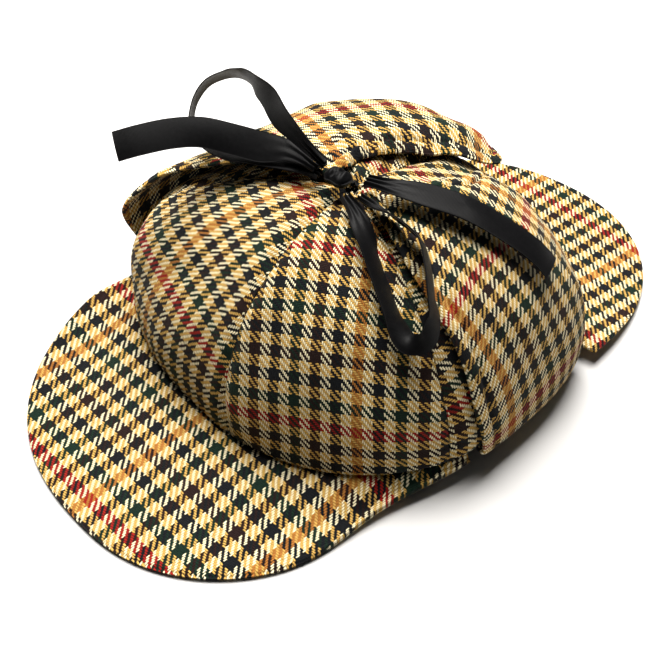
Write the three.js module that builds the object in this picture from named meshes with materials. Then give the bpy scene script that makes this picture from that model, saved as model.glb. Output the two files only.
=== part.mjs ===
// Deerstalker hat, empty and lying on a flat surface. Sizes in millimetres, +Z up.
// The front peak points to -Y; +X is the wearer's left. The surface it lies on is z = 0.
// Bearings are degrees round the crown: 0 at the front seam, 90 at the wearer's left, 180 at the back.
// Climb runs from 0 at the rim of the crown to 1 at its top.
import * as THREE from "three";

// ---- driving sizes ---------------------------------------------------------
const RIM_HALF_WIDTH = 92;
const RIM_HALF_LENGTH = 86;
const RIM_MIDDLE_Y = 3;
const RIM_SQUARENESS = 2.4;
const RIM_HEIGHT_FRONT = 5.4;
const RIM_RISE_AT_SIDES = 7;
const CROWN_HEIGHT = 84.5;
const CROWN_ROUNDNESS = 0.87;
const CROWN_BULGE = 0.01;
const PANEL_FLATNESS = 0.42;
const PANEL_CLOTH = 1.8;
const PANEL_TOP = 0.985;
const GAP = 0.3;
const PEAK_CLOTH = 3.0;
const PEAK_ARCH = 1.6;
const FLAP_CLOTH = 2.4;
const FLAP_DROP = 0.5;
const FLAP_RISE = 5;
const RIBBON_WIDTH = 13;
const RIBBON_CLOTH = 1.0;
const TURN_OVER = -60;

// Bearings of the six seams of the crown; the last is the first one again.
const SEAMS = [5, 67, 122, 180, 238, 293, 365];

// Peaks. Each half, on the wearer's right and left, has its half width, roundness, end (how far past the
// middle line it runs out) and the bearing it reaches at the rim; waist is how far its side is drawn in.
const PEAKS = {
  peak_front: {
    facing: 0, tip: 150, curl: 5,
    right: { wide: 103, round: 2.42, end: 45, reach: 64, waist: 0 },
    left: { wide: 91, round: 2.2, end: 26, reach: 72, waist: 9 },
  },
  peak_back: {
    facing: 180, tip: 160, curl: 0,
    right: { wide: 88, round: 2.2, end: 60, reach: 53, waist: 0 },
    left: { wide: 88, round: 2.2, end: 60, reach: 53, waist: 0 },
  },
};
const WAIST_AT = 66;
const WAIST_SPREAD = 22;

// Soft pushes and hollows of the crown: bearing, climb, their spreads, and how far out (+) or in (-).
const DENTS = [
  { bearing: -64, climb: 0.14, spread: 25, rise: 0.22, out: 14 },
  { bearing: 52, climb: 0.3, spread: 12, rise: 0.2, out: -2 },
  { bearing: -150, climb: 0.4, spread: 34, rise: 0.22, out: 6 },
  { bearing: 178, climb: 0.78, spread: 22, rise: 0.1, out: -2.5 },
];

// Edges of an ear flap against climb, as bearings on the wearer's left, and how far it stands off the crown.
const FLAP_LEFT = [
  { climb: 0.0, front: 75, back: 122, offFront: 1.2, offBack: 1.2 },
  { climb: 0.15, front: 73, back: 131, offFront: 1.6, offBack: 1.6 },
  { climb: 0.3, front: 73, back: 144, offFront: 2.0, offBack: 2.0 },
  { climb: 0.42, front: 72, back: 158, offFront: 2.4, offBack: 2.4 },
  { climb: 0.55, front: 70, back: 162, offFront: 2.4, offBack: 2.4 },
  { climb: 0.7, front: 68, back: 148, offFront: 1.8, offBack: 1.8 },
  { climb: 0.84, front: 68, back: 138, offFront: 1.0, offBack: 1.0 },
  { climb: 0.955, front: 66, back: 122, offFront: 0.7, offBack: 0.7 },
];
const FLAP_RIGHT = [
  { climb: 0.0, front: 71, back: 120, offFront: 15, offBack: 5 },
  { climb: 0.15, front: 67, back: 140, offFront: 13, offBack: 8 },
  { climb: 0.3, front: 68, back: 178, offFront: 7, offBack: 10 },
  { climb: 0.42, front: 69, back: 193, offFront: 5, offBack: 12 },
  { climb: 0.55, front: 69, back: 193, offFront: 4.5, offBack: 11 },
  { climb: 0.7, front: 69, back: 186, offFront: 4, offBack: 8 },
  { climb: 0.84, front: 68, back: 168, offFront: 3, offBack: 5 },
  { climb: 0.955, front: 66, back: 132, offFront: 0.7, offBack: 0.7 },
];

// ---- helpers -----------------------------------------------------------------
const degrees = Math.PI / 180;

function clamp(value, low, high) {
  return Math.min(high, Math.max(low, value));
}

function smooth(value, low, high) {
  const t = clamp((value - low) / (high - low), 0, 1);
  return t * t * (3 - 2 * t);
}

function bell(value, spread) {
  return Math.exp(-(value * value) / (2 * spread * spread));
}

function wrapped(bearing) {
  return ((((bearing + 180) % 360) + 360) % 360) - 180;
}

function signedPower(value, power) {
  return Math.sign(value) * Math.pow(Math.abs(value), power);
}

function between(table, key, climb) {
  let k = 0;
  while (k < table.length - 2 && climb > table[k + 1].climb) {
    k += 1;
  }
  const t = clamp((climb - table[k].climb) / (table[k + 1].climb - table[k].climb), 0, 1);
  const eased = t * t * (3 - 2 * t) * 0.5 + t * 0.5;
  return table[k][key] + eased * (table[k + 1][key] - table[k][key]);
}

// A closed sheet between two surfaces over the same (u, v) square.
function slab(outer, inner, across, along) {
  const points = [];
  const corners = [];
  const id = (layer, i, j) => (layer * (across + 1) + i) * (along + 1) + j;
  for (const surface of [outer, inner]) {
    for (let i = 0; i <= across; i += 1) {
      for (let j = 0; j <= along; j += 1) {
        points.push(surface(i / across, j / along));
      }
    }
  }
  const quad = (a, b, c, d) => corners.push(a, b, c, a, c, d);
  for (let i = 0; i < across; i += 1) {
    for (let j = 0; j < along; j += 1) {
      quad(id(0, i, j), id(0, i + 1, j), id(0, i + 1, j + 1), id(0, i, j + 1));
      quad(id(1, i, j), id(1, i, j + 1), id(1, i + 1, j + 1), id(1, i + 1, j));
    }
    quad(id(1, i, 0), id(1, i + 1, 0), id(0, i + 1, 0), id(0, i, 0));
    quad(id(0, i, along), id(0, i + 1, along), id(1, i + 1, along), id(1, i, along));
  }
  for (let j = 0; j < along; j += 1) {
    quad(id(0, 0, j), id(0, 0, j + 1), id(1, 0, j + 1), id(1, 0, j));
    quad(id(0, across, j + 1), id(0, across, j), id(1, across, j), id(1, across, j + 1));
  }
  return closedGeometry(points, corners);
}

// Geometry from points and triangle corners, turned so that its faces look outward.
function closedGeometry(points, corners) {
  let volume = 0;
  for (let k = 0; k < corners.length; k += 3) {
    const [a, b, c] = [points[corners[k]], points[corners[k + 1]], points[corners[k + 2]]];
    volume += a.dot(new THREE.Vector3().crossVectors(b, c));
  }
  if (volume < 0) {
    corners.reverse();
  }
  const geometry = new THREE.BufferGeometry();
  geometry.setAttribute("position", new THREE.Float32BufferAttribute(points.flatMap((p) => [p.x, p.y, p.z]), 3));
  geometry.setIndex(corners);
  geometry.computeVertexNormals();
  return geometry;
}

// ---- the crown as a surface -----------------------------------------------------
function rimRadius(bearing) {
  const x = Math.abs(Math.sin(bearing * degrees)) / RIM_HALF_WIDTH;
  const y = Math.abs(Math.cos(bearing * degrees)) / RIM_HALF_LENGTH;
  return Math.pow(Math.pow(x, RIM_SQUARENESS) + Math.pow(y, RIM_SQUARENESS), -1 / RIM_SQUARENESS);
}

function rimHeight(bearing) {
  return RIM_HEIGHT_FRONT + RIM_RISE_AT_SIDES * Math.pow(Math.sin(bearing * degrees), 2);
}

// The plain dome, without the flats of its panels.
function dome(bearing, climb, scale = 1) {
  const turn = climb * 0.5 * Math.PI;
  const height = Math.pow(Math.sin(turn), CROWN_ROUNDNESS);
  const reach = Math.pow(Math.cos(turn), CROWN_ROUNDNESS) * (1 + CROWN_BULGE * Math.sin(Math.PI * height));
  const radius = rimRadius(bearing) * reach * scale;
  const low = rimHeight(bearing);
  return new THREE.Vector3(
    radius * Math.sin(bearing * degrees),
    RIM_MIDDLE_Y * (1 - height) - radius * Math.cos(bearing * degrees),
    low + (CROWN_HEIGHT - low) * height,
  );
}

function domeNormal(bearing, climb) {
  const c = clamp(climb, 0.01, 0.985);
  const round = dome(bearing + 0.5, c).sub(dome(bearing - 0.5, c));
  const up = dome(bearing, c + 0.008).sub(dome(bearing, c - 0.008));
  const normal = round.cross(up).normalize();
  return normal.setZ(normal.z * smooth(climb, 0, 0.08)).normalize();
}

// Between two seams the cloth runs flatter than the dome.
function panelFlat(bearing, climb) {
  const turned = ((((bearing - SEAMS[0]) % 360) + 360) % 360) + SEAMS[0];
  let k = 0;
  while (k < SEAMS.length - 2 && turned >= SEAMS[k + 1]) {
    k += 1;
  }
  const half = 0.5 * (SEAMS[k + 1] - SEAMS[k]);
  const aside = turned - SEAMS[k] - half;
  const chord = Math.cos(half * degrees) / Math.cos(aside * degrees);
  return 1 - PANEL_FLATNESS * (0.35 + 0.65 * smooth(climb, 0, 0.4)) * (1 - chord);
}

function crown(bearing, climb, out = 0) {
  let push = out;
  for (const dent of DENTS) {
    push += dent.out * bell(wrapped(bearing - dent.bearing), dent.spread) * bell(climb - dent.climb, dent.rise);
  }
  const point = dome(bearing, climb, panelFlat(bearing, climb));
  return point.addScaledVector(domeNormal(bearing, climb), push);
}

// ---- pieces ------------------------------------------------------------------------
function crownPanel(index) {
  const bearingAt = (u, climb) => {
    const wide = crown(SEAMS[index], climb).setZ(0).length();
    const trim = Math.min(8, (0.5 * GAP) / Math.max(wide, 1) / degrees);
    return SEAMS[index] + trim + u * (SEAMS[index + 1] - SEAMS[index] - 2 * trim);
  };
  const climbAt = (v) => PANEL_TOP * Math.pow(v, 0.9);
  const face = (out) => (u, v) => crown(bearingAt(u, climbAt(v)), climbAt(v), out);
  return slab(face(0), face(-PANEL_CLOTH), 8, 14);
}

function peak({ facing, tip, curl, right, left }) {
  const side = facing === 0 ? 1 : -1;
  const place = (u, v, layer) => {
    const turn = 2 * u - 1;
    const half = turn < 0 ? right : left;
    const bearing = facing + side * turn * half.reach;
    const inner = crown(bearing, 0, -PANEL_CLOTH);
    const psi = turn * 90 * degrees;
    const out = half.end + (tip - half.end) * signedPower(Math.cos(psi), 2 / half.round);
    const drawn = Math.sign(turn) * half.waist * bell(out - WAIST_AT, WAIST_SPREAD);
    const edge = new THREE.Vector3(half.wide * signedPower(Math.sin(psi), 2 / half.round) - drawn, -side * out, 0);
    const rimUnder = rimHeight(bearing) - GAP - PEAK_CLOTH;
    const ends = smooth(Math.abs(turn), 0.6, 1);
    const curled = curl * smooth(-turn, 0.25, 0.8) * (1 - smooth(-turn, 0.85, 1)) * v * v;
    const edgeUnder = rimUnder * ends * 0.8 + curled;
    const arch = PEAK_ARCH * Math.sin(Math.PI * Math.pow(v, 0.8)) * (1 - ends);
    const flat = 1 - smooth(v, 0.0, 0.55);
    const under = edgeUnder + (rimUnder - edgeUnder) * flat + arch * (1 - smooth(v, 0.3, 0.62));
    const x = inner.x + (edge.x - inner.x) * v;
    const y = inner.y + (edge.y - inner.y) * v;
    const thin = PEAK_CLOTH - 0.8 * smooth(v, 0.9, 1);
    const top = under + thin + (layer === 0 ? arch * smooth(v, 0.3, 0.62) * 0.4 : 0);
    return new THREE.Vector3(x, y, layer === 0 ? top : under);
  };
  return slab((u, v) => place(u, v, 0), (u, v) => place(u, v, 1), 30, 6);
}

// An ear flap starts under the wall of the crown, runs out from under it, folds up and lies against it.
function earFlap(sign, table) {
  const foldShare = 0.2;
  const climbAt = (v) => 0.015 + 0.94 * Math.pow(clamp((v - foldShare) / (1 - foldShare), 0, 1), 0.95);
  const place = (u, v, out) => {
    const climb = v <= foldShare ? 0 : climbAt(v);
    const front = between(table, "front", climb);
    const back = between(table, "back", climb);
    const bearing = sign * (front + u * (back - front));
    const offFront = between(table, "offFront", climb);
    const off = offFront + smooth(u, 0, 1) * (between(table, "offBack", climb) - offFront);
    if (v > foldShare) {
      return crown(bearing, climb, off + out);
    }
    const start = crown(bearing, 0, 0);
    const level = domeNormal(bearing, 0).setZ(0).normalize();
    const under = rimHeight(bearing) - GAP - FLAP_DROP;
    const folded = (v / foldShare) * 4 - 1;
    if (folded <= 0) {
      return start.addScaledVector(level, folded * PANEL_CLOTH).setZ(under - out);
    }
    const turn = folded * 30 * degrees;
    const rise = Math.min(off, FLAP_RISE);
    start.addScaledVector(level, (off + out) * Math.sin(turn));
    return start.setZ(under + rise - (rise + out) * Math.cos(turn));
  };
  return slab((u, v) => place(u, v, FLAP_CLOTH), (u, v) => place(u, v, 0), 14, 20);
}

// A ribbon along a smooth path; across(point, way, v) gives the direction of its width.
function ribbon(path, across, pinch, along = 26) {
  const curve = new THREE.CatmullRomCurve3(path.map(([x, y, z]) => new THREE.Vector3(x, y, z)), false, "centripetal");
  const place = (u, v, out) => {
    const point = curve.getPoint(v);
    const way = curve.getTangent(v);
    const wide = across(point, way, v);
    wide.addScaledVector(way, -wide.dot(way)).normalize();
    const up = new THREE.Vector3().crossVectors(wide, way).normalize();
    const width = RIBBON_WIDTH * pinch(v);
    return point.addScaledVector(wide, (u - 0.5) * width).addScaledVector(up, out);
  };
  const half = 0.5 * RIBBON_CLOTH;
  return slab((u, v) => place(u, v, half), (u, v) => place(u, v, -half), 2, along);
}

// The ways a ribbon's width can lie: on the crown, level, standing on edge along one loop, and turned over
// along the other.
const away = (point) => new THREE.Vector3(point.x, point.y, 1.3 * (point.z - 12)).normalize();
const onCrown = (point, way) => way.clone().cross(away(point)).normalize();
const level = (point, way) => new THREE.Vector3(way.y, -way.x, 0);
const onEdge = (point, way, v) => {
  const rising = new THREE.Vector3(-0.62, -0.06, -0.75);
  const leaning = new THREE.Vector3(-0.54, 0.49, -0.68);
  const lying = onCrown(point, way).negate();
  return rising.lerp(leaning, smooth(v, 0.22, 0.4)).lerp(lying, smooth(v, 0.62, 0.78));
};
const turnedOver = (point, way, v) => {
  const turn = TURN_OVER * smooth(v, 0.42, 0.62) * (1 - smooth(v, 0.86, 1)) * degrees;
  return onCrown(point, way).multiplyScalar(Math.cos(turn)).addScaledVector(away(point), Math.sin(turn));
};
const pinchedStart = (v) => 0.45 + 0.55 * smooth(v, 0, 0.3);
const pinchedBoth = (v) => 0.45 + 0.55 * smooth(Math.min(v, 1 - v), 0, 0.16);

// Paths of the four ribbons that leave the knot, as x, y, z.
const TAIL_RIGHT = [
  [-10, -10, 92], [-26, -10, 93], [-37, -16, 93.5], [-49, -22, 95], [-59, -29, 97],
  [-66, -39, 98], [-73, -50, 97], [-79, -58, 95],
];
const TAIL_LEFT = [
  [11, -3, 93], [22, 1, 93], [34, 8, 91], [47, 16, 87], [60, 23, 80], [71, 28, 73], [78, 31, 66],
];
const LOOP_RIGHT = [
  [-6, -8.5, 95.5], [-15, -9, 99], [-25, -8, 102], [-35, -6, 104], [-46, -2, 106], [-56, 0, 107], [-66, 2, 107],
  [-74, 0, 106], [-79, -7, 103.5], [-81, -13, 98], [-79, -18, 93], [-72, -23, 90], [-60, -25, 88.5],
  [-47, -21, 88], [-36, -15, 88], [-20, -11, 89], [-8, -10, 90],
];
const LOOP_LEFT = [
  [9, -13, 90], [20, -17, 88], [35, -25, 82], [47, -31, 75.5], [58, -36, 69], [66, -38, 65.5], [71.5, -34, 67.5],
  [69, -28, 72.5], [65, -25, 79], [58, -19, 84.5], [49, -13, 88.5], [38, -11, 90], [27, -11, 90.5], [14, -10, 90.5],
];

function knot() {
  const geometry = new THREE.SphereGeometry(1, 14, 10);
  geometry.scale(8, 7, 4.6);
  geometry.translate(1, -8, 91.6);
  return geometry;
}

// ---- assembly -----------------------------------------------------------------------
const group = new THREE.Group();

function add(name, geometry, color, roughness) {
  const mesh = new THREE.Mesh(geometry, new THREE.MeshStandardMaterial({ color, roughness, metalness: 0 }));
  mesh.name = name;
  group.add(mesh);
}

const TWEED = 0xb89a66;
const SATIN = 0x141416;
const PANEL_NAMES = ["front_left", "side_left", "back_left", "back_right", "side_right", "front_right"];
PANEL_NAMES.forEach((name, index) => add(`crown_panel_${name}`, crownPanel(index), TWEED, 0.9));
for (const [name, shape] of Object.entries(PEAKS)) {
  add(name, peak(shape), TWEED, 0.9);
}
add("ear_flap_left", earFlap(1, FLAP_LEFT), TWEED, 0.9);
add("ear_flap_right", earFlap(-1, FLAP_RIGHT), TWEED, 0.9);
add("ribbon_tail_right", ribbon(TAIL_RIGHT, level, pinchedStart, 22), SATIN, 0.4);
add("ribbon_tail_left", ribbon(TAIL_LEFT, onCrown, pinchedStart, 22), SATIN, 0.4);
add("ribbon_loop_right", ribbon(LOOP_RIGHT, onEdge, pinchedBoth, 44), SATIN, 0.4);
add("ribbon_loop_left", ribbon(LOOP_LEFT, turnedOver, pinchedBoth, 44), SATIN, 0.4);
add("ribbon_knot", knot(), SATIN, 0.4);

// The origin is the middle of the hat's outline, on the surface it lies on.
const middle = new THREE.Box3().setFromObject(group).getCenter(new THREE.Vector3());
for (const mesh of group.children) {
  mesh.position.set(-middle.x, -middle.y, 0);
}

export default group;
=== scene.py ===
# %% [markdown]
# # A deerstalker hat
# The hat lies empty on a table with its front peak towards -Y and the wearer's left towards +X. Its crown is
# six tapered pieces of tweed, two stiffened peaks are sewn under the rim, and two ear flaps are folded up
# over the sides and tied on top with a black satin ribbon. Every piece here is a surface worked out with
# numpy as a function of two parameters, so a fold or a seam is one more term in a formula.

# %% The frame and a few sizes
import math

import bpy
import numpy as np
from mathutils import Matrix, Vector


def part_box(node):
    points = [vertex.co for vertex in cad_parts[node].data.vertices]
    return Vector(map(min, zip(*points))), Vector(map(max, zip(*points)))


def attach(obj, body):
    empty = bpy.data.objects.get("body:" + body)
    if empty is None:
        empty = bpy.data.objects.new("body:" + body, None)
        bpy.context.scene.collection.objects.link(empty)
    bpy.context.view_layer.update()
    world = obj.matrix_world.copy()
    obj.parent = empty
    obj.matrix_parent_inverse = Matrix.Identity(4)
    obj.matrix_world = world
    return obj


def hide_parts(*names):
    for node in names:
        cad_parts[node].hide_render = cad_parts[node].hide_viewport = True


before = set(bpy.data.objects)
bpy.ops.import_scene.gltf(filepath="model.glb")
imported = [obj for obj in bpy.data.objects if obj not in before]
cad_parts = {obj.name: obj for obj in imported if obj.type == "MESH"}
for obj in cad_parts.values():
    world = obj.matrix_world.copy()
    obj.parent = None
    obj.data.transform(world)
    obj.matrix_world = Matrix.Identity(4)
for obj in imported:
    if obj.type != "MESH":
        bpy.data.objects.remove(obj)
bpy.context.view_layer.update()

MM = 0.001
DEGREE = math.pi / 180
KNOT_LEFT, KNOT_FORWARD = 1.0, 8.0  # how far the knot sits from the crown's middle, in mm
knot_low, knot_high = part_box("ribbon_knot")
MIDDLE = np.array([
    (knot_low.x + knot_high.x) / 2 - KNOT_LEFT * MM,
    (knot_low.y + knot_high.y) / 2 + KNOT_FORWARD * MM,
    0.0,
])

# %% [markdown]
# ## The view
# A short telephoto lens half a metre away, looking down on the hat from the wearer's front left. The camera
# is rolled a little, so it gets its three axes directly instead of a Track To constraint.

# %% Camera
LOOK_AT = MIDDLE + np.array([-7.3, -8.0, 3.2]) * MM
AROUND, ABOVE, ROLL = 47.7 * DEGREE, 43.0 * DEGREE, -2.8 * DEGREE
AWAY, LENS, SENSOR = 0.465, 55.05, 36

back = np.array([
    math.sin(AROUND) * math.cos(ABOVE),
    -math.cos(AROUND) * math.cos(ABOVE),
    math.sin(ABOVE),
])
level = np.array([math.cos(AROUND), math.sin(AROUND), 0.0])
upright = np.cross(back, level)
right = math.cos(ROLL) * level + math.sin(ROLL) * upright
up = -math.sin(ROLL) * level + math.cos(ROLL) * upright

camera_data = bpy.data.cameras.new("camera")
camera_data.lens = LENS
camera_data.sensor_width = SENSOR
camera_data.clip_start = 0.02
camera = bpy.data.objects.new("camera", camera_data)
bpy.context.scene.collection.objects.link(camera)
pose = np.eye(4)
pose[:3] = np.stack([right, up, back, LOOK_AT + back * AWAY], 1)
camera.matrix_world = Matrix(pose.tolist())
bpy.context.scene.camera = camera
print("camera at", (LOOK_AT + back * AWAY).round(3))

# %% [markdown]
# ## Light
# One large soft lamp, high up on the wearer's right and a little behind, makes the top and the peaks bright
# and leaves the front of the crown in shade, as in a plain studio. The floor and a faint world fill the
# shadows.

# %% Lamp, world and floor
FLOOR_HALF, FLOOR_GREY, WORLD_STRENGTH = 3, 0.56, 0.05


def lamp(name, place, size, power, colour):
    """A square soft lamp at a place in metres from the hat, facing it."""
    data = bpy.data.lights.new(name, "AREA")
    data.size, data.energy, data.color = size, power, colour
    made = bpy.data.objects.new(name, data)
    bpy.context.scene.collection.objects.link(made)
    out = np.array(place) / np.linalg.norm(place)
    side = np.cross([0.0, 1.0, 0.0], out)
    side /= np.linalg.norm(side)
    axes = np.eye(4)
    axes[:3] = np.stack([side, np.cross(out, side), out, place], 1)
    made.matrix_world = Matrix(axes.tolist())


lamp("lamp_high", (-0.38, 0.34, 1.3), 1.0, 74, (1.0, 0.97, 0.93))

world = bpy.data.worlds.new("pale room")
world.use_nodes = True
sky = world.node_tree.nodes["Background"]
sky.inputs["Color"].default_value = (1.0, 0.99, 0.97, 1)
sky.inputs["Strength"].default_value = WORLD_STRENGTH
bpy.context.scene.world = world
bpy.context.scene.view_settings.view_transform = "Standard"

floor_data = bpy.data.meshes.new("floor")
floor_corners = [(x * FLOOR_HALF, y * FLOOR_HALF, 0) for x, y in ((-1, -1), (1, -1), (1, 1), (-1, 1))]
floor_data.from_pydata(floor_corners, [], [(0, 1, 2, 3)])
floor = bpy.data.objects.new("floor", floor_data)
bpy.context.scene.collection.objects.link(floor)
floor_paint = bpy.data.materials.new("pale floor")
floor_paint.use_nodes = True
floor_shader = floor_paint.node_tree.nodes["Principled BSDF"]
floor_shader.inputs["Base Color"].default_value = (FLOOR_GREY, FLOOR_GREY, FLOOR_GREY, 1)
floor_shader.inputs["Roughness"].default_value = 0.9
floor_data.materials.append(floor_paint)

# %% [markdown]
# ## Wiring helpers
# Materials are trees of small nodes. A few helpers keep the wiring readable: they add a node, do arithmetic
# with a Math node, mix two colours, scale a vector, or make a noise.

# %% Node helpers
class Wires:
    """Adds and joins the nodes of one tree."""

    def __init__(self, tree):
        self.tree = tree

    def add(self, kind, inputs=None, **settings):
        node = self.tree.nodes.new(kind)
        for name, value in settings.items():
            setattr(node, name, value)
        for name, value in (inputs or {}).items():
            self.feed(node.inputs[name], value)
        return node

    def feed(self, socket, value):
        if isinstance(value, bpy.types.NodeSocket):
            self.tree.links.new(value, socket)
        else:
            socket.default_value = value

    def math(self, operation, a, b=0.0, c=0.0):
        node = self.add("ShaderNodeMath", operation=operation)
        for socket, value in zip(node.inputs, (a, b, c)):
            self.feed(socket, value)
        return node.outputs[0]

    def mix(self, amount, a, b, blend="MIX"):
        node = self.add("ShaderNodeMix", data_type="RGBA", blend_type=blend)
        self.feed(node.inputs[0], amount)
        self.feed(node.inputs[6], a)
        self.feed(node.inputs[7], b)
        return node.outputs[2]

    def noise(self, where, scale, detail):
        node = self.add("ShaderNodeTexNoise", {"Vector": where, "Scale": scale, "Detail": detail})
        return node.outputs["Fac"]

    def vector(self, operation, a, b):
        return self.add("ShaderNodeVectorMath", {0: a, 1: b}, operation=operation).outputs[0]

    def choose(self, first, a, b):
        """a where first is 1 and b where it is 0."""
        return self.math("ADD", self.math("MULTIPLY", first, a),
                         self.math("MULTIPLY", self.math("SUBTRACT", 1.0, first), b))


def linear(red, green, blue):
    """A screen colour from 0 to 255 as linear light."""
    c = np.array([red, green, blue]) / 255
    return tuple(np.where(c < 0.04045, c / 12.92, ((c + 0.055) / 1.055) ** 2.4)) + (1.0,)


def new_group(name, inputs, outputs):
    """An empty node group with named sockets, and its two end nodes."""
    group = bpy.data.node_groups.new(name, "ShaderNodeTree")
    for socket_name, kind in inputs:
        group.interface.new_socket(socket_name, in_out="INPUT", socket_type=kind)
    for socket_name, kind in outputs:
        group.interface.new_socket(socket_name, in_out="OUTPUT", socket_type=kind)
    wires = Wires(group)
    return group, wires, wires.add("NodeGroupInput"), wires.add("NodeGroupOutput")


print("cream is", np.round(linear(240, 225, 180), 3))

# %% [markdown]
# ## The tweed
# Gun club check is a 2/2 twill: six light yarns and six dark ones in turn, both ways, and each yarn
# passes over two and under two, one step further along at each row, which gives the slanting ticks. Where
# light crosses light there is a cream star, where dark crosses dark a dark one. The light yarns that run up
# the cloth are off-white and those across are gold, so half of the mixed squares tick white and the others
# gold. Every eighth dark band is tan one way and brick red the other.
# A picture texture would do, but a woven pattern is exact arithmetic, so nodes count the yarns instead: the
# whole part of the cloth's coordinate over the yarn's width is the yarn's number.

# %% Sett of the tweed, band by band
SETT_UP = ["white", "ink", "white", "moss", "white", "peat", "white", "ink",
           "white", "moss", "white", "peat", "white", "ink", "white", "tan"]
SETT_ACROSS = ["gold", "moss", "gold", "ink", "gold", "peat", "gold", "ink",
               "gold", "moss", "gold", "ink", "gold", "peat", "gold", "red"]
YARN_COLOURS = {
    "white": linear(236, 225, 186),
    "gold": linear(206, 164, 84),
    "ink": linear(11, 15, 20),
    "moss": linear(12, 36, 25),
    "peat": linear(33, 16, 13),
    "tan": linear(168, 108, 46),
    "red": linear(150, 27, 18),
}
BAND = 6
CHECK_WIDE, CHECK_LONG = 9.0, 10.05
YARN_WIDE, YARN_LONG = CHECK_WIDE / (2 * BAND), CHECK_LONG / (2 * BAND)
STRIPE = len(SETT_UP) * BAND - BAND / 2
print("one check is", CHECK_WIDE, "by", CHECK_LONG, "mm; coloured stripe at yarn", STRIPE)


def sett_ramp(wires, yarn, sett):
    """Colour of a yarn from its number: the bands repeat, each as wide as BAND yarns."""
    whole = len(sett) * BAND
    share = wires.math("DIVIDE", wires.math("FLOORED_MODULO", yarn, whole), whole)
    ramp = wires.add("ShaderNodeValToRGB", {"Fac": share})
    ramp.color_ramp.interpolation = "CONSTANT"
    for k, name in enumerate(sett):
        stop = ramp.color_ramp.elements[k] if k < 1 else ramp.color_ramp.elements.new(k / len(sett))
        stop.position = k / len(sett)
        stop.color = YARN_COLOURS[name]
    ramp.color_ramp.elements.remove(ramp.color_ramp.elements[-1])
    return ramp.outputs["Color"]


# %% Node group: twill
# noise scale per metre, how far it moves a yarn in metres, detail
WANDER, FRAY = (160.0, 0.0009, 1.0), (1300.0, 0.0006, 2.0)
YARN_EDGE = 0.37  # how far from its middle a yarn still shows, as a share of its width

twill, w, start, end = new_group(
    "twill",
    [("Cloth", "NodeSocketVector"), ("Hairiness", "NodeSocketFloat")],
    [("Color", "NodeSocketColor"), ("Height", "NodeSocketFloat")],
)


def shifted(wires, where, noise):
    """A small sideways move of the cloth, different from place to place."""
    scale, far, detail = noise
    cloud = wires.add("ShaderNodeTexNoise", {"Vector": where, "Scale": scale, "Detail": detail})
    centred = wires.vector("SUBTRACT", cloud.outputs["Color"], (0.5, 0.5, 0.5))
    return wires.vector("MULTIPLY", centred, (far, far, 0.0))


def rounded(wires, place):
    """The round back of a yarn: 0 at its sides and 1 in its middle."""
    centred = wires.math("ABSOLUTE", wires.math("MULTIPLY_ADD", place, 2.0, -1.0))
    left = wires.math("SUBTRACT", 1.0, wires.math("POWER", centred, 2.0))
    return wires.math("SQRT", wires.math("MAXIMUM", left, 0.0))


def float_arch(wires, phase, place):
    """A yarn rises over two others: highest in the middle of that length."""
    share = wires.math("MULTIPLY", wires.math("ADD", phase, place), math.pi / 2)
    return wires.math("SINE", share)


def yarn_height(wires, across_it, phase, along_it, low):
    """Round across, and along it an arch of 0.5 that stands on low."""
    arched = wires.math("MULTIPLY_ADD", float_arch(wires, phase, along_it), 0.5, low)
    return wires.math("MULTIPLY", rounded(wires, across_it), arched)


# Which warp and weft yarn meet here, and where between their sides.
cloth = start.outputs["Cloth"]
both = w.vector("ADD", shifted(w, cloth, WANDER), shifted(w, cloth, FRAY))
split = w.add("ShaderNodeSeparateXYZ", {"Vector": w.vector("ADD", cloth, both)})
across = w.math("DIVIDE", split.outputs["X"], YARN_WIDE * MM)
along = w.math("DIVIDE", split.outputs["Y"], YARN_LONG * MM)
warp, weft = w.math("FLOOR", across), w.math("FLOOR", along)
in_warp, in_weft = w.math("SUBTRACT", across, warp), w.math("SUBTRACT", along, weft)

# Two over and two under: the warp is on top at steps 0 and 1 of four.
step = w.math("FLOORED_MODULO", w.math("ADD", warp, weft), 4.0)
on_top = w.math("LESS_THAN", step, 1.5)
off_middle = w.math("ABSOLUTE", w.math("SUBTRACT", w.choose(on_top, in_warp, in_weft), 0.5))
between = w.math("GREATER_THAN", off_middle, YARN_EDGE)

warp_height = yarn_height(w, in_warp, step, in_weft, 0.5)
weft_height = yarn_height(w, in_weft, w.math("SUBTRACT", step, 2.0), in_warp, 0.42)
seen = w.choose(on_top, warp_height, weft_height)
height = w.math("MULTIPLY", seen, w.math("SUBTRACT", 1.0, between))

# Between two yarns the gap takes the darker of the crossing pair, whichever yarn lies beneath: painted shade
# in the groove.
warp_colour, weft_colour = sett_ramp(w, warp, SETT_UP), sett_ramp(w, weft, SETT_ACROSS)
upper = w.mix(on_top, weft_colour, warp_colour)
colour = w.mix(between, upper, w.mix(1.0, warp_colour, weft_colour, "DARKEN"))
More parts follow.
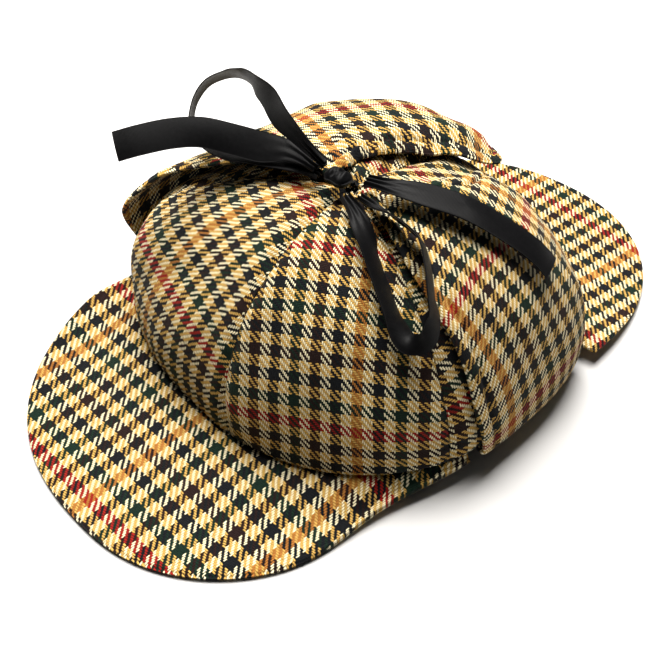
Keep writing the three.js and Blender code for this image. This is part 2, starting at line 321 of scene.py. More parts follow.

# Every yarn has a tone of its own, heathered along it; painted shade then makes it darker where it lies deep
# and a little lighter on its raised back.
yarn_name = w.add("ShaderNodeCombineXYZ", {
    "X": w.math("MULTIPLY", on_top, warp),
    "Y": w.math("MULTIPLY", w.math("SUBTRACT", 1.0, on_top), weft),
    "Z": on_top,
})
luck = w.add("ShaderNodeTexWhiteNoise", {"Vector": yarn_name.outputs[0]}, noise_dimensions="3D")
heather = w.math("MULTIPLY", w.noise(cloth, 900.0, 3.0), 0.36)
shade = w.math("ADD", w.math("MULTIPLY_ADD", luck.outputs["Value"], 0.16, 0.74), heather)
# Painted shade: the yarn's tone is scaled by its height, from 0.42 deep down to about 1.08 on its crown.
tone_with_painted_shade = w.math("MULTIPLY", shade, w.math("MULTIPLY_ADD", height, 0.66, 0.42))
grey = w.add("ShaderNodeCombineColor", {"Red": tone_with_painted_shade, "Green": tone_with_painted_shade, "Blue": tone_with_painted_shade})
w.feed(end.inputs["Color"], w.mix(1.0, colour, grey.outputs[0], "MULTIPLY"))
hair = w.math("SUBTRACT", w.noise(cloth, 2600.0, 4.0), 0.5)
w.feed(end.inputs["Height"], w.math("ADD", height, w.math("MULTIPLY", hair, start.outputs["Hairiness"])))
print("twill group:", len(twill.nodes), "nodes")

# %% [markdown]
# ## The two finishes
# Tweed is matt and a little hairy: high roughness, a soft sheen, and the yarns' height as a bump. Satin is
# the other extreme: its yarns lie almost flat along the ribbon, so it is smooth one way and shines.

# %% Tweed and satin
RIB_STEP, THREAD_STEP, SELVEDGE = 0.0005, 0.00022, 0.46  # metres, metres, share of the width from its middle
RIBBON = {"width": 13.0, "cloth": 0.5, "fold": 0.8, "cup": 0.5, "gathered": 9}


def new_material(name):
    """An empty material, its wires and its shader."""
    made = bpy.data.materials.new(name)
    made.use_nodes = True
    wires = Wires(made.node_tree)
    return made, wires, made.node_tree.nodes["Principled BSDF"]


tweed, w, shader = new_material("gun club tweed")
uv = w.add("ShaderNodeUVMap", uv_map="cloth")
weave = w.add("ShaderNodeGroup", {}, node_tree=twill)
w.feed(weave.inputs["Cloth"], uv.outputs["UV"])
weave.inputs["Hairiness"].default_value = 0.7
object_place = w.add("ShaderNodeTexCoord").outputs["Object"]
cloudy = w.noise(object_place, 35.0, 3.0)
tint = w.mix(w.math("MULTIPLY", cloudy, 0.22), weave.outputs["Color"], (0.16, 0.1, 0.04, 1), "MULTIPLY")
w.feed(shader.inputs["Base Color"], tint)
w.feed(shader.inputs["Roughness"], w.math("MULTIPLY_ADD", cloudy, 0.1, 0.82))
bump = w.add("ShaderNodeBump", {"Strength": 0.9, "Distance": 0.0003, "Height": weave.outputs["Height"]})
w.feed(shader.inputs["Normal"], bump.outputs[0])
shader.inputs["Sheen Weight"].default_value = 0.03
shader.inputs["Sheen Roughness"].default_value = 0.45
shader.inputs["Sheen Tint"].default_value = (1.0, 0.93, 0.8, 1)
shader.inputs["Specular IOR Level"].default_value = 0.12

satin, w, shader = new_material("black satin")
uv = w.add("ShaderNodeUVMap", uv_map="cloth")
split = w.add("ShaderNodeSeparateXYZ", {"Vector": uv.outputs["UV"]})
ribs = w.math("SINE", w.math("MULTIPLY", split.outputs["Y"], 2 * math.pi / RIB_STEP))
threads = w.math("SINE", w.math("MULTIPLY", split.outputs["X"], 2 * math.pi / THREAD_STEP))
over = w.math("DIVIDE", split.outputs["X"], RIBBON["width"] * MM)
selvedge = w.math("GREATER_THAN", w.math("ABSOLUTE", w.math("SUBTRACT", over, 0.5)), SELVEDGE)
slub = w.noise(uv.outputs["UV"], 500.0, 3.0)
w.feed(shader.inputs["Base Color"], w.mix(slub, (0.0015, 0.0015, 0.0017, 1), (0.004, 0.004, 0.0045, 1)))
smoothness = w.math("MULTIPLY_ADD", slub, 0.14, 0.38)
w.feed(shader.inputs["Roughness"], w.math("ADD", smoothness, w.math("MULTIPLY", selvedge, 0.2)))
relief = w.math("ADD", w.math("MULTIPLY_ADD", threads, 0.3, ribs), w.math("MULTIPLY", selvedge, 2.0))
bump = w.add("ShaderNodeBump", {"Strength": 0.25, "Distance": 0.00006, "Height": relief})
w.feed(shader.inputs["Normal"], bump.outputs[0])
shader.inputs["Sheen Weight"].default_value = 0.01
shader.inputs["Sheen Roughness"].default_value = 0.4
shader.inputs["Specular IOR Level"].default_value = 0.06
shader.inputs["Anisotropic"].default_value = 0.4
print("materials", [m.name for m in bpy.data.materials])

# %% [markdown]
# ## From arrays to cloth
# Each piece of cloth is two grids of points, its outer and its inner face, joined round the border. Rows are
# crowded near the border, where the two faces close in on each other along a quarter circle, so an edge
# looks folded and not sawn. The second grid given is where each point lies on the flat cloth, and becomes
# the UV map that the weave follows.

# %% Sheets with two faces
def crowded(count, share=0.55):
    """Numbers from 0 to 1, closer together towards both ends, by mixing an even step with a cosine one."""
    even = np.linspace(0, 1, count)
    return (1 - share) * even + share * 0.5 * (1 - np.cos(np.pi * even))


def shown(name, points, quads, cloth, material, replaced):
    """Puts points in millimetres, quads and flat-cloth coordinates into a mesh with its faces outward, which
    rides the root body and stands for the plain solid replaced."""
    place = points.reshape(-1, 3) * MM + MIDDLE
    a, b, c, d = (place[quads[:, k]] for k in range(4))
    volume = (a * (np.cross(b, c) + np.cross(c, d))).sum()
    quads = quads if volume > 0 else quads[:, ::-1]
    mesh = bpy.data.meshes.new(name)
    mesh.vertices.add(len(place))
    mesh.vertices.foreach_set("co", place.astype(np.float32).ravel())
    mesh.loops.add(quads.size)
    mesh.loops.foreach_set("vertex_index", quads.astype(np.int32).ravel())
    mesh.polygons.add(len(quads))
    mesh.polygons.foreach_set("loop_start", np.arange(0, quads.size, 4, dtype=np.int32))
    mesh.polygons.foreach_set("use_smooth", np.ones(len(quads), bool))
    mesh.update(calc_edges=True)
    layer = mesh.uv_layers.new(name="cloth")
    layer.data.foreach_set("uv", (cloth.reshape(-1, 2)[quads.ravel()] * MM).astype(np.float32).ravel())
    mesh.materials.append(material)
    made = bpy.data.objects.new(name, mesh)
    bpy.context.scene.collection.objects.link(made)
    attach(made, "root")
    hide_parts(replaced)
    print(f"{name}: {len(quads) * 2} triangles, box {(place.max(0) - place.min(0)).round(3).tolist()} m")
    return made


def grid_quads(rows, columns, base=0, flip=False):
    """Corner numbers of the quads of a grid."""
    i, j = np.meshgrid(np.arange(rows - 1), np.arange(columns - 1), indexing="ij")
    a = base + i * columns + j
    quads = np.stack([a, a + columns, a + columns + 1, a + 1], -1).reshape(-1, 4)
    return quads[:, ::-1] if flip else quads


def two_faced(rows, columns):
    """Quads of two grids, back to back, and of the border between them."""
    count = rows * columns
    ring = np.concatenate([
        np.arange(columns - 1), np.arange(rows - 1) * columns + columns - 1,
        (rows - 1) * columns + np.arange(columns - 1, 0, -1), np.arange(rows - 1, 0, -1) * columns,
    ])
    following = np.roll(ring, -1)
    border = np.stack([ring + count, following + count, following, ring], -1)
    inward, outward = grid_quads(rows, columns, flip=True), grid_quads(rows, columns, count)
    return np.concatenate([inward, outward, border[:, ::-1]])


def sheet(prefix, node, outer, inner, cloth, material):
    """A closed sheet from its two faces, in place of the plain solid node."""
    quads = two_faced(*outer.shape[:2])
    points, flat = np.stack([outer, inner]), np.stack([cloth, cloth])
    made = shown(prefix + node, points, quads, flat, material, node)


def quarter(distance, radius):
    """How full a rounded edge is: 0 at the border, rising along a quarter circle to 1 at the radius."""
    t = np.clip(distance / radius, 0, 1)
    return np.sqrt(np.clip(1 - (1 - t) ** 2, 0, 1))


def smooth(value, low, high):
    """0 below low, 1 above high, and an S-shaped step between."""
    t = np.clip((value - low) / (high - low), 0, 1)
    return t * t * (3 - 2 * t)


def bell(value, spread):
    """A bump of height 1 that fades over the spread."""
    return np.exp(-value * value / (2 * spread * spread))


def unit(vectors):
    """The same directions, one long."""
    return vectors / np.maximum(np.linalg.norm(vectors, axis=-1, keepdims=True), 1e-9)


print("crowded:", crowded(7).round(2))

# %% [markdown]
# ## The crown as a surface
# Bearing is the angle round the head, 0 at the front seam and 90 at the wearer's left; climb runs from 0 at
# the rim to 1 at the top. The plan of the rim is a superellipse. Going up, the height follows a sine and the
# radius a cosine, both slightly flattened. Between two seams the cloth runs flatter than a true dome, and
# soft dents, folds and a sunken line at each seam are added along the surface's normal.
# A cloth simulation would find folds of its own, but these ones have to lie where the hat's do.

# %% The crown's formulas
RIM = {"half_width": 92, "half_length": 86, "middle_y": 3, "squareness": 2.4, "front": 5.4, "rise": 7}
CROWN = {"height": 84.5, "roundness": 0.87, "bulge": 0.01, "flatness": 0.42, "cloth": 1.8, "top": 0.985}
SEAMS = np.array([5, 67, 122, 180, 238, 293, 365])
# bearing, climb, spread round, spread up, out
DENTS = [
    (-64, 0.14, 25, 0.22, 14),
    (52, 0.3, 12, 0.2, -2),
    (-150, 0.4, 34, 0.22, 6),
    (178, 0.78, 22, 0.1, -2.5),
]
# Folds of the slack cloth: start bearing and climb, end bearing and climb, half width in mm, out in mm
FOLDS = [
    (-60, 0.10, -38, 0.62, 5.0, 1.6),
    (-50, 0.08, -22, 0.50, 4.0, -1.5),
    (-30, 0.05, -8, 0.42, 5.0, 1.1),
    (22, 0.04, 34, 0.22, 6.0, -0.8),
    (50, 0.05, 58, 0.30, 5.0, 1.0),
    (96, 0.30, 130, 0.56, 6.0, 1.2),
    (140, 0.28, 165, 0.55, 5.0, -1.2),
    (-120, 0.25, -160, 0.50, 7.0, 1.6),
    (200, 0.15, 215, 0.55, 6.0, 1.0),
]
ROUND_STEP, UP_STEP = 1.1, 120
# Waves of the slack cloth: height in mm, radians per degree round, radians over the climb, start
WAVES = [(0.35, 0.11, 9, 0), (0.3, 0.19, -14, 1), (0.2, 0.31, 23, 2)]


def rim_radius(bearing):
    """Superellipse: x and y over their half sizes, raised to the squareness, add up to one."""
    x = np.abs(np.sin(bearing * DEGREE)) / RIM["half_width"]
    y = np.abs(np.cos(bearing * DEGREE)) / RIM["half_length"]
    return (x ** RIM["squareness"] + y ** RIM["squareness"]) ** (-1 / RIM["squareness"])


def rim_height(bearing):
    """Low at the front and back and higher at the sides, by the sine squared of the bearing."""
    return RIM["front"] + RIM["rise"] * np.sin(bearing * DEGREE) ** 2


def dome(bearing, climb, scale=1.0):
    """Height is the sine of the climb and radius its cosine, both to the roundness, over the rim's plan."""
    turn = np.clip(climb, 0, 1) * math.pi / 2
    height = np.sin(turn) ** CROWN["roundness"]
    reach = np.abs(np.cos(turn)) ** CROWN["roundness"] * (1 + CROWN["bulge"] * np.sin(math.pi * height))
    radius = rim_radius(bearing) * reach * scale
    low = rim_height(bearing)
    return np.stack([
        radius * np.sin(bearing * DEGREE),
        RIM["middle_y"] * (1 - height) - radius * np.cos(bearing * DEGREE),
        low + (CROWN["height"] - low) * height,
    ], -1)


def dome_normal(bearing, climb):
    """Outward direction from two small steps on the dome, made level at the rim."""
    c = np.clip(climb, 0.01, 0.985)
    sideways = dome(bearing + 0.5, c) - dome(bearing - 0.5, c)
    upward = dome(bearing, c + 0.008) - dome(bearing, c - 0.008)
    normal = unit(np.cross(sideways, upward))
    normal[..., 2] *= smooth(climb, 0, 0.08)
    return unit(normal)


def panel_of(bearing):
    """Number of the panel at a bearing, and the bearing counted on from the first seam."""
    counted = (bearing - SEAMS[0]) % 360 + SEAMS[0]
    return np.clip(np.searchsorted(SEAMS, counted, side="right") - 1, 0, 5), counted


def panel_flat(bearing, climb):
    """Scale of the radius: between two seams it leans towards the straight chord, more so higher up."""
    k, counted = panel_of(bearing)
    half = 0.5 * (SEAMS[k + 1] - SEAMS[k])
    chord = np.cos(half * DEGREE) / np.cos((counted - SEAMS[k] - half) * DEGREE)
    return 1 - CROWN["flatness"] * (0.35 + 0.65 * smooth(climb, 0, 0.4)) * (1 - chord)


def wrapped(bearing):
    """The same bearing between -180 and 180."""
    return (bearing + 180) % 360 - 180


def push(bearing, climb):
    """Sum of the dents and folds: bells round a point, and bells across a line that fade at its ends. A
    degree counts as 1.1 mm and the whole climb as 120 mm."""
    total = np.zeros(np.broadcast(bearing, climb).shape)
    for at, up_to, wide, tall, out in DENTS:
        total += out * bell(wrapped(bearing - at), wide) * bell(climb - up_to, tall)
    for b0, c0, b1, c1, half, out in FOLDS:
        run = np.array([wrapped(b1 - b0) * ROUND_STEP, (c1 - c0) * UP_STEP])
        x, y = wrapped(bearing - b0) * ROUND_STEP, (climb - c0) * UP_STEP
        share = np.clip((x * run[0] + y * run[1]) / (run @ run), -0.2, 1.2)
        aside = np.hypot(x - share * run[0], y - share * run[1])
        total += out * bell(aside, half) * smooth(share, -0.2, 0.25) * (1 - smooth(share, 0.7, 1.2))
    return total


def slack(bearing, climb):
    """A slow unevenness of soft cloth, a sum of three waves."""
    return sum(high * np.sin(bearing * a + climb * b + first) for high, a, b, first in WAVES)


def crown(bearing, climb, out=0.0):
    """A point of the crown, and out millimetres off it."""
    point = dome(bearing, climb, panel_flat(bearing, climb))
    lift = push(bearing, climb) + slack(bearing, climb) * smooth(climb, 0, 0.1) + out
    return point + dome_normal(bearing, climb) * lift[..., None]


print("top of the crown", crown(np.array([0.0]), np.array([1.0])).round(1))

# %% [markdown]
# ## Laying the pattern
# A cutter lays each piece on flat cloth, so the checks run straight up its middle. The flat coordinate across
# is the distance round from the piece's middle line, and the one up is the arc's length from the rim. The
# table says where the piece's tan and red stripes fall, so checks break at the seams as they do on the hat.
# A piece cut with the cloth's other face out has its twill slanting the other way: its hand is -1.

# %% Cloth coordinates
# middle bearing, tan stripe mm round, red stripe mm up, stretch up, share of the bow, hand
LAYING = {
    "crown_panel_front_left": (36, 13, 24, 1.1, 0.7, 1),
    "crown_panel_side_left": (94, 4, 31, 1.1, 0.7, 1),
    "crown_panel_back_left": (151, -12, 31, 1.1, 0.7, -1),
    "crown_panel_back_right": (209, 8, 44, 1.1, 0.7, 1),
    "crown_panel_side_right": (-94, -20, 36, 1.1, 0.7, 1),
    "crown_panel_front_right": (-31, -6, 40, 1.1, 0.7, -1),
    "ear_flap_left": (106, -35, 11, 1.4, 0.8, -1),
    "ear_flap_right": (-112, 0, 10, 1.1, 0.7, 1),
}
STRETCH_ROUND = 1.06
STEPS = np.linspace(0, 1, 400)


def arc_up(bearing):
    """Length of the dome's arc from the rim up to each of STEPS."""
    line = dome(np.full(len(STEPS), float(bearing)), STEPS)
    return np.concatenate([[0], np.cumsum(np.linalg.norm(np.diff(line, axis=0), axis=-1))])


ARC = {row[0]: arc_up(row[0]) for row in LAYING.values()}


def with_stripes(x, y):
    """Flat-cloth millimetres from the distances to a piece's tan and red stripes."""
    return np.stack([x + STRIPE * YARN_WIDE, y + STRIPE * YARN_LONG], -1)


def laid(name, bearing, climb):
    """A gore opens flat like a cone about its top: with left as the arc still to climb, it turns by
    bearing times radius over left; across is left times the sine, and the bow left times one minus cosine."""
    middle, tan_at, red_at, stretch, bow, hand = LAYING[name]
    radius = np.linalg.norm(dome(bearing, climb)[..., :2], axis=-1)
    risen = np.interp(climb, STEPS, ARC[middle])
    left = ARC[middle][-1] - risen + 0.01
    turn = wrapped(bearing - middle) * DEGREE * radius / left
    round_by = left * np.sin(turn)
    up_by = risen + bow * left * (1 - np.cos(turn))
    return with_stripes((round_by - tan_at) * STRETCH_ROUND * hand, (up_by - red_at) * stretch)


print("up the front panel:", ARC[36][-1].round(1), "mm")

# %% [markdown]
# ## The six panels of the crown
# The seams are sewn inside, so the cloth turns in at them: each panel sinks over its last three millimetres,
# with small puckers where the thread pulls, and a hair's breadth is left to its neighbour. At the rim the
# cloth rolls under.

# %% Panels
PANEL_NAMES = ["front_left", "side_left", "back_left", "back_right", "side_right", "front_right"]
SEAM_DEPTH, SEAM_REACH, SEAM_GAP = 2.1, 2.4, 0.12
PUCKER, PUCKER_STEP, RIM_ROLL = 0.3, 6.5, 1.4


def crown_panel(index):
    """A grid over bearing and climb, sunk along both seams by a bell of the distance to the seam."""
    name = "crown_panel_" + PANEL_NAMES[index]
    climb = CROWN["top"] * crowded(96, 0.5)[None, :] ** 0.95
    share = crowded(72, 0.6)[:, None]
    low, high = SEAMS[index], SEAMS[index + 1]
    middle_line = dome(np.full_like(climb, (low + high) / 2), climb)
    radius = np.maximum(np.linalg.norm(middle_line[..., :2], axis=-1), 1.0)
    trim = np.minimum(8, SEAM_GAP / radius / DEGREE)
    bearing = low + trim + share * (high - low - 2 * trim)
    climb = np.broadcast_to(climb, bearing.shape)
    aside = np.minimum(bearing - low, high - bearing) * DEGREE * radius
    risen = np.interp(climb, STEPS, ARC[LAYING[name][0]])
    sunk = -SEAM_DEPTH * bell(aside, SEAM_REACH) * smooth(climb, -0.1, 0.06)
    waves = np.sin(2 * math.pi * risen / PUCKER_STEP + 1.7 * np.sin(risen / 9))
    sunk += PUCKER * waves * bell(aside - 2.5, 2.2)
    rolled = RIM_ROLL * (1 - quarter(risen, 2.5))
    edge = quarter(aside, 0.8) * quarter(risen + 0.3, 1.4)
    thick = 0.5 * CROWN["cloth"] * (0.2 + 0.8 * edge)
    mid = sunk - rolled - 0.5 * CROWN["cloth"]
    outer, inner = crown(bearing, climb, mid + thick), crown(bearing, climb, mid - thick)
    sheet("cloth_", name, outer, inner, laid(name, bearing, climb), tweed)


for index in range(len(PANEL_NAMES)):
    crown_panel(index)

# %% [markdown]
# ## The two peaks
# A peak is a stiff board between two layers of cloth. In plan its edge is a superellipse, with each half as
# wide as the hat's is; from the rim it falls to the table and lies on it. The cloth's pattern is simply its
# plan, because the peak is all but flat.

# %% Peaks
PEAK = {"cloth": 3.0, "arch": 1.6, "gap": 0.3, "tuck": 1.6, "waist_at": 66, "waist_spread": 22}
# facing, tip, curl, then right and left halves: wide, round, end, reach, waist
PEAKS = {
    "peak_front": (0, 150, 5, (103, 2.42, 45, 64, 0), (91, 2.2, 26, 72, 9)),
    "peak_back": (180, 160, 0, (88, 2.2, 60, 53, 0), (88, 2.2, 60, 53, 0)),
}
# lean of the pattern, tan stripe's x, red stripe's y, stretch
PEAK_LAYING = {"peak_front": (0, -8, -141, 1.0), "peak_back": (5, 46, 141, 1.18)}


def peak(name):
    """Across: turn from one end to the other. Along: from the rim to the superellipse of the outer edge."""
    facing, tip, curl, right_half, left_half = PEAKS[name]
    side = 1 if facing == 0 else -1
    share = crowded(150, 0.5)[:, None]
    v = crowded(44, 0.5)[None, :] + 0 * share
    turn = 2 * share - 1 + 0 * v
    wide, rounding, ending, reach, waist = (np.where(turn < 0, r, l) for r, l in zip(right_half, left_half))
    bearing = facing + side * turn * reach
    rim = crown(bearing, np.zeros_like(v), np.full_like(v, -PEAK["tuck"]))
    psi = turn * math.pi / 2
    out = ending + (tip - ending) * np.abs(np.cos(psi)) ** (2 / rounding)
    drawn = np.sign(turn) * waist * bell(out - PEAK["waist_at"], PEAK["waist_spread"])
    edge_x = wide * np.sign(psi) * np.abs(np.sin(psi)) ** (2 / rounding) - drawn
    edge_y = -side * out
    x = rim[..., 0] + (edge_x - rim[..., 0]) * v
    y = rim[..., 1] + (edge_y - rim[..., 1]) * v
    rim_under = rim_height(bearing) - PEAK["gap"] - PEAK["cloth"]
    ends = smooth(np.abs(turn), 0.6, 1)
    curled = curl * smooth(-turn, 0.25, 0.8) * (1 - smooth(-turn, 0.85, 1)) * v * v
    edge_under = rim_under * ends * 0.8 + curled
    arch = PEAK["arch"] * np.sin(math.pi * v ** 0.8) * (1 - ends)
    flattening = smooth(v, 0.3, 0.62)
    under = edge_under + (rim_under - edge_under) * (1 - smooth(v, 0, 0.55)) + arch * (1 - flattening)
    to_edge = (1 - v) * np.hypot(edge_x - rim[..., 0], edge_y - rim[..., 1])
    to_end = (1 - np.abs(turn)) * 120
    full = quarter(to_edge, 2.0) * (0.35 + 0.65 * quarter(to_end, 2.5))
    thick = 0.5 * PEAK["cloth"] * (0.22 + 0.78 * full)
    groove = 0.25 * bell(to_edge - 4.2, 0.5)
    uneven = 0.25 * np.sin(x / 17 + 1) * np.sin(y / 23) * smooth(to_edge, 0, 20)
    middle = under + 0.5 * PEAK["cloth"]
    outer = np.stack([x, y, middle + thick - groove + uneven + arch * flattening * 0.4], -1)
    inner = np.stack([x, y, middle - thick], -1)
    lean, tan_at, red_at, stretch = PEAK_LAYING[name]
    c, s = math.cos(lean * DEGREE), math.sin(lean * DEGREE)
    cloth = with_stripes(c * x - s * y - tan_at, (s * x + c * y - red_at) * stretch)
    sheet("cloth_", name, outer, inner, cloth, tweed)


for name in PEAKS:
    peak(name)

# %% [markdown]
# ## The ear flaps
# Each flap is a half-moon of doubled cloth, sewn inside the rim, folded up and lying against the crown. It
# is stitched down along a line inside its edge, which leaves a plump roll outside the line. Where the ribbon
# pulls it in at the top it puckers.

# %% Flaps
FLAP = {
    "cloth": 2.4, "drop": 0.5, "rise": 5, "gap": 0.3, "fold": 0.2,
    "stitch_in": 6.3, "plump_in": 3.2, "tuck": 0.74,
}
# climb, front bearing, back bearing, stand-off at the front and at the back
FLAPS = {
    "ear_flap_left": (1, [
        (0.0, 75, 122, 1.2, 1.2), (0.15, 73, 131, 1.6, 1.6), (0.3, 73, 144, 2.0, 2.0),
        (0.42, 72, 158, 2.4, 2.4), (0.55, 70, 162, 2.4, 2.4), (0.7, 68, 148, 1.8, 1.8),
        (0.84, 68, 138, 1.0, 1.0), (0.955, 66, 122, 0.7, 0.7),
    ]),
    "ear_flap_right": (-1, [
        (0.0, 71, 120, 15, 5), (0.15, 67, 140, 13, 8), (0.3, 68, 178, 7, 10),
        (0.42, 69, 193, 5, 12), (0.55, 69, 193, 4.5, 11), (0.7, 69, 186, 4, 8),
        (0.84, 68, 168, 3, 5), (0.955, 66, 132, 0.7, 0.7),
    ]),
}


def eased(table, column, climb):
    """Between two rows of a table: halfway between a straight line and an S-shaped step."""
    rows = np.array(table, float)
    k = np.clip(np.searchsorted(rows[:, 0], climb, side="right") - 1, 0, len(rows) - 2)
    t = np.clip((climb - rows[k, 0]) / (rows[k + 1, 0] - rows[k, 0]), 0, 1)
    t = 0.5 * t * t * (3 - 2 * t) + 0.5 * t
    return rows[k, column] + t * (rows[k + 1, column] - rows[k, column])


def flap_surface(name, u, v):
    """Point, outward direction, bearing and climb of a flap. The lowest fifth runs from under the rim and
    turns up along a quarter circle; above it the flap follows the crown at its stand-off."""
    sign, table = FLAPS[name]
    above = np.clip((v - FLAP["fold"]) / (1 - FLAP["fold"]), 0, 1)
    climb = np.where(v <= FLAP["fold"], 0.0, 0.015 + 0.94 * above ** 0.95)
    front, rear = eased(table, 1, climb), eased(table, 2, climb)
    bearing = sign * (front + u * (rear - front))
    off_front = eased(table, 3, climb)
    off = off_front + smooth(u, 0, 1) * (eased(table, 4, climb) - off_front)
    off = off * (1 - FLAP["tuck"] * smooth(u, 0.84, 1.0) * smooth(climb, 0.3, 0.5))
    lying = crown(bearing, climb, off)
    outward = dome_normal(bearing, climb)
    rim = crown(bearing, np.zeros_like(climb), np.zeros_like(climb))
    flat_out = dome_normal(bearing, np.zeros_like(climb))
    flat_out[..., 2] = 0
    flat_out = unit(flat_out)
    under = rim_height(bearing) - FLAP["gap"] - FLAP["drop"]
    folded = v / FLAP["fold"] * 4 - 1
    turn = np.clip(folded, 0, 3) * 30 * DEGREE
    rise = np.minimum(off, FLAP["rise"])
    bend = rim + flat_out * (np.minimum(folded, 0) * CROWN["cloth"] + off * np.sin(turn))[..., None]
    bend[..., 2] = under + rise - rise * np.cos(turn)
    bend_out = flat_out * np.sin(turn)[..., None]
    bend_out[..., 2] = -np.cos(turn)
    below = (v <= FLAP["fold"])[..., None]
    return np.where(below, bend, lying), np.where(below, bend_out, outward), bearing, climb


def ear_flap(name):
    """The flap's surface, thickened by its doubled cloth, with a stitched line, a plump edge and puckers."""
    u = crowded(130, 0.55)[:, None]
    turned_up = np.linspace(0, FLAP["fold"], 22)[:-1]
    rest = FLAP["fold"] + (1 - FLAP["fold"]) * np.linspace(0, 1, 120) ** 0.97
    u, v = np.broadcast_arrays(u, np.concatenate([turned_up, rest])[None, :])
    point, outward, bearing, climb = flap_surface(name, u, v)
    across = np.linalg.norm(np.diff(point, axis=0), axis=-1)
    run = np.concatenate([np.zeros((1, v.shape[1])), np.cumsum(across, 0)])
    to_side = np.minimum(run, run[-1:] - run)
    upward = np.linalg.norm(np.diff(point, axis=1), axis=-1)
    up_run = np.concatenate([np.zeros((u.shape[0], 1)), np.cumsum(upward, 1)], 1)
    to_top = up_run[:, -1:] - up_run
    to_edge = np.minimum(to_side, to_top)
    full = quarter(to_edge, 1.6)
    sewn = 0.4 * bell(to_edge - FLAP["plump_in"], 1.8) - bell(to_edge - FLAP["stitch_in"], 0.8)
    waves = np.sin(2 * math.pi * up_run / 4.6 + 0.8 * np.sin(up_run / 7))
    pucker = 0.25 * waves * bell(to_side - 5.5, 2.2) * smooth(v, 0.2, 0.3)
    drawn = 0.7 * np.sin(run / 2.1 + 1.4 * np.sin(run / 11)) * smooth(climb, 0.66, 0.9)
    lift = (sewn + pucker + drawn) * smooth(v, 0.16, 0.24)
    thick = 0.5 * FLAP["cloth"] * (0.18 + 0.82 * full)
    middle = 0.5 * FLAP["cloth"]
    outer = point + outward * (middle + thick + lift)[..., None]
    inner = point + outward * (middle - thick + np.maximum(lift, 0) * 0.3)[..., None]
    laying = laid(name, bearing, climb)
    turned = np.interp(v[0], [0, FLAP["fold"]], [-1, 0])
    laying[..., 1] += (turned * up_run[:, np.searchsorted(v[0], FLAP["fold"])].mean())[None, :]
    sheet("cloth_", name, outer, inner, laying, tweed)


for name in FLAPS:
    ear_flap(name)

# %% [markdown]
# ## The ribbon
# A satin ribbon is a strip carried along a curve. The curve runs smoothly through a few points; at each step
# the strip's width gets a direction of its own, which decides whether it lies on the cloth or stands on
# edge. Near the knot the strip is gathered: narrower, with lengthwise folds.

# %% Strips along curves
# points that each curve runs through, in millimetres from the crown's middle, from the knot outwards
TAIL_RIGHT = [(-10, -10, 92), (-26, -10, 93), (-37, -16, 93.5), (-49, -22, 95), (-59, -29, 97),
              (-66, -39, 98), (-73, -50, 97), (-79, -58, 95)]
TAIL_LEFT = [(11, -3, 93), (22, 1, 93), (34, 8, 91), (47, 16, 87), (60, 23, 80), (71, 28, 73), (78, 31, 66)]
LOOP_RIGHT = [(-6, -8.5, 95.5), (-15, -9, 99), (-25, -8, 102), (-35, -6, 104), (-46, -2, 106), (-56, 0, 107),
              (-66, 2, 107), (-74, 0, 106), (-79, -7, 103.5), (-81, -13, 98), (-79, -18, 93), (-72, -23, 90),
              (-60, -25, 88.5), (-47, -21, 88), (-36, -15, 88), (-20, -11, 89), (-8, -10, 90)]
LOOP_LEFT = [(9, -13, 90), (20, -17, 88), (35, -25, 82), (47, -31, 75.5), (58, -36, 69), (66, -38, 65.5),
             (71.5, -34, 67.5), (69, -28, 72.5), (65, -25, 79), (58, -19, 84.5), (49, -13, 88.5),
             (38, -11, 90), (27, -11, 90.5), (14, -10, 90.5)]


def smooth_path(points, count):
    """Catmull-Rom: each stretch is a cubic that leaves and meets its ends along their neighbours' line."""
    p = np.array(points, float)
    p = np.concatenate([[2 * p[0] - p[1]], p, [2 * p[-1] - p[-2]]])
    s = np.linspace(0, len(points) - 1 - 1e-9, count)
    k, t = s.astype(int), (s % 1)[:, None]
    a, b, c, d = p[k], p[k + 1], p[k + 2], p[k + 3]
    bent, twisted = 2 * a - 5 * b + 4 * c - d, 3 * b - a - 3 * c + d
    curve = 0.5 * (2 * b + (c - a) * t + bent * t ** 2 + twisted * t ** 3)
    run = np.concatenate([[0], np.cumsum(np.linalg.norm(np.diff(curve, axis=0), axis=-1))])
    even = np.linspace(0, run[-1], count)
    return np.stack([np.interp(even, run, curve[:, k]) for k in range(3)], -1), even


def away(point):
    """Outward from a point a little above the floor inside the crown."""
    return unit(point * [1, 1, 1.3] - [0, 0, 15.6])


def on_crown(point, way, share):
    """Flat on the cloth."""
    return unit(np.cross(way, away(point)))


def tipped_up(point, way, share):
    """Level at the knot, then its far edge tips up by 40 degrees."""
    tip = 40 * DEGREE * smooth(share, 0.0, 0.3)
    return np.stack([way[:, 1] * np.cos(tip), -way[:, 0] * np.cos(tip), np.sin(tip)], -1)


def on_edge(point, way, share):
    """Rising from the knot, then leaning away, then lying down again under the tail."""
    first, then = smooth(share, 0.22, 0.4)[:, None], smooth(share, 0.62, 0.78)[:, None]
    leaning = (1 - first) * np.array([-0.62, -0.06, -0.75]) + first * np.array([-0.54, 0.49, -0.68])
    return leaning * (1 - then) - on_crown(point, way, share) * then


def turned_over(point, way, share):
    """Tilted a little going down the crown, and turned most of the way over coming back."""
    turn = 50 * DEGREE * smooth(share, 0.04, 0.2) * (1 - smooth(share, 0.36, 0.5))
    turn = (turn - 60 * DEGREE * smooth(share, 0.42, 0.62) * (1 - smooth(share, 0.86, 1)))[:, None]
    return on_crown(point, way, share) * np.cos(turn) + away(point) * np.sin(turn)


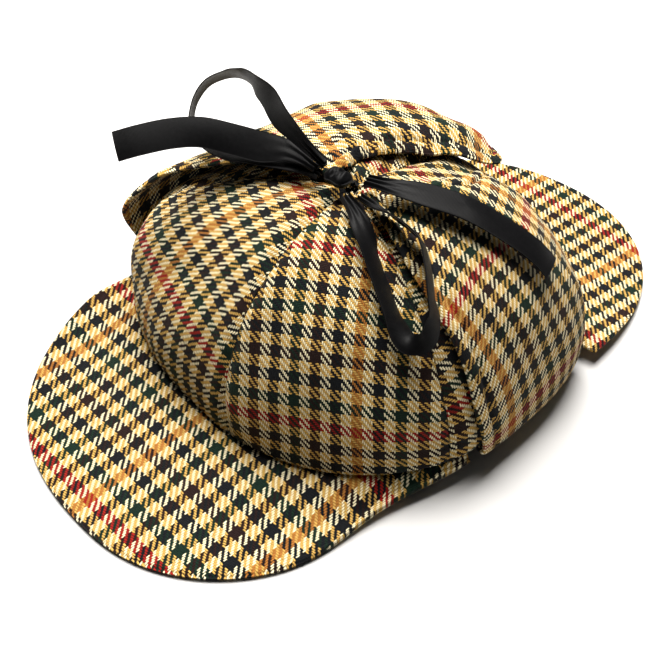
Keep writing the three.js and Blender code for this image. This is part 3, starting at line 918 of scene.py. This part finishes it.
def strip(name, points, facing, gather, ends, count=150):
    """Grid across the width and along the path; gather gives the share of the width that is left."""
    path, run = smooth_path(points, count)
    way = unit(np.gradient(path, axis=0))
    share = run / run[-1]
    wide = facing(path, way, share)
    wide = unit(wide - way * (wide * way).sum(-1, keepdims=True))
    normal = unit(np.cross(wide, way))
    u = crowded(25, 0.5)[:, None]
    width = RIBBON["width"] * gather(share)
    from_knot = np.where(ends, np.minimum(run, run[-1] - run), run)
    near = bell(from_knot, RIBBON["gathered"])[None, :]
    folds = RIBBON["fold"] * np.cos(5 * math.pi * u) * near
    cupped = RIBBON["cup"] * (1 - (2 * u - 1) ** 2) * (1 - near)
    ripple = 0.12 * np.sin(run / 6.3)[None, :] * np.sin(math.pi * u)
    lift = folds + cupped + ripple
    base = path[None] + wide[None] * ((u - 0.5) * width[None])[..., None]
    half = 0.5 * RIBBON["cloth"]
    cloth = np.stack([u * RIBBON["width"] + 0 * run[None], run[None] + 0 * u], -1)
    outer = base + normal[None] * (lift + half)[..., None]
    inner = base + normal[None] * (lift - half)[..., None]
    sheet("satin_", name, outer, inner, cloth, satin)


def from_start(share):
    """Gathered at the knot and full width beyond it."""
    return 0.4 + 0.6 * smooth(share, 0, 0.34)


def from_both(share):
    """Gathered at both ends, where a loop goes into the knot."""
    return 0.34 + 0.6 * smooth(np.minimum(share, 1 - share), 0, 0.2)


def creased(share):
    """Gathered at both ends, and creased narrower where the loop turns back."""
    return from_both(share) * (1 - 0.35 * bell(share - 0.48, 0.05))


strip("ribbon_tail_right", TAIL_RIGHT, tipped_up, from_start, False)
strip("ribbon_tail_left", TAIL_LEFT, on_crown, from_start, False)
strip("ribbon_loop_right", LOOP_RIGHT, on_edge, from_both, True, 220)
strip("ribbon_loop_left", LOOP_LEFT, turned_over, creased, True, 220)

# %% [markdown]
# ## The knot
# The knot is the ribbon wrapped once round itself and pulled tight: a small pillow with creases across it.

# %% Knot
KNOT = {"half_long": 6.0, "half_wide": 4.9, "half_high": 3.4, "seam": 0.15, "at": (0.5, -8, 91.8)}


def knot():
    """A pillow: height over an oval falls to the border like a quarter circle, with creases across."""
    u, v = np.meshgrid(np.linspace(-1, 1, 49), np.linspace(-1, 1, 49), indexing="ij")
    round_u = u * np.sqrt(1 - v ** 2 / 2)
    round_v = v * np.sqrt(1 - u ** 2 / 2)
    rim = np.clip(1 - round_u ** 2 - round_v ** 2, 0, 1)
    ridges = 0.12 * np.cos(11 * round_u + 3 * round_v) * np.sqrt(rim)
    crease = 1 + ridges - 0.3 * bell(round_u - 0.25 * round_v, 0.12)
    waisted = 1 - 0.18 * np.cos(math.pi * round_u)
    x, y = KNOT["half_long"] * round_u, KNOT["half_wide"] * round_v * waisted
    z = KNOT["half_high"] * np.sqrt(rim) * crease + KNOT["seam"]
    points = np.stack([np.stack([x, y, z], -1), np.stack([x, y, -z], -1)]) + np.array(KNOT["at"])
    cloth = np.stack([6.5 + 5 * u, 20 + 7 * v], -1)
    flat = np.stack([cloth, cloth])
    made = shown("satin_knot", points, two_faced(*u.shape), flat, satin, "ribbon_knot")


knot()
